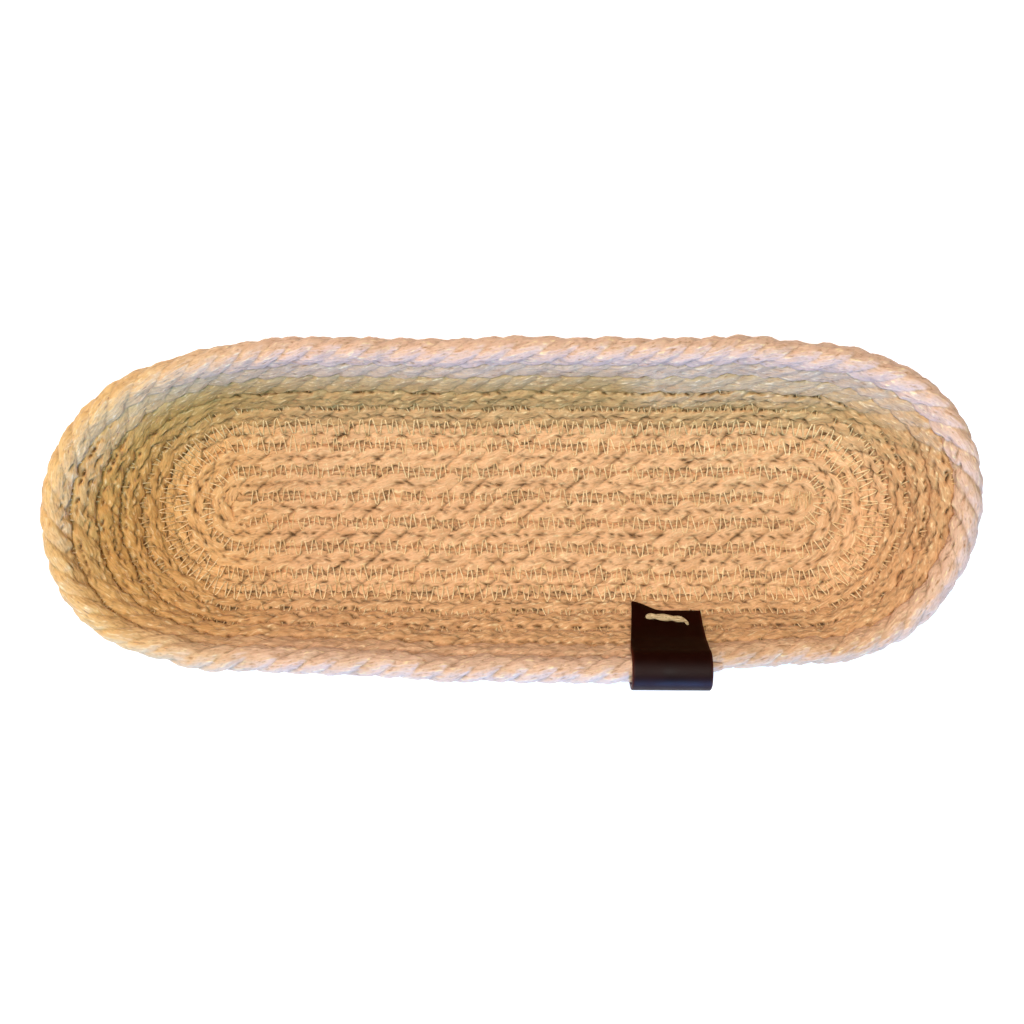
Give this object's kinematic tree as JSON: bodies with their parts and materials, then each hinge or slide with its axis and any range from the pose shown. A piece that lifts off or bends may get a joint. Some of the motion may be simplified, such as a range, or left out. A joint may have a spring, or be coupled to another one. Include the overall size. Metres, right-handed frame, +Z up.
{
  "type": "oval basket",
  "caption": "Shallow oval basket wound from natural jute rope and sewn course to course, with a dark leather tag folded over the front of its rim.",
  "frame": {"origin": "middle of the first rope row's flat underside, on the surface that the basket stands on", "axes": "+X along the basket towards the rope's first fold, +Z up out of the tray, -Y towards the tag at the front"},
  "size_m": [0.285, 0.1038, 0.0432],
  "materials": {
    "jute_rope": "matte",
    "waxed_thread": "satin",
    "tag_leather": "satin",
    "jute_twine": "matte"
  },
  "bodies": {
    "root": {"rope_coil": "jute_rope", "needle_thread": "waxed_thread", "bobbin_thread": "waxed_thread", "leather_tag": "tag_leather", "tag_twine": "jute_twine"}
  },
  "joints": []
}
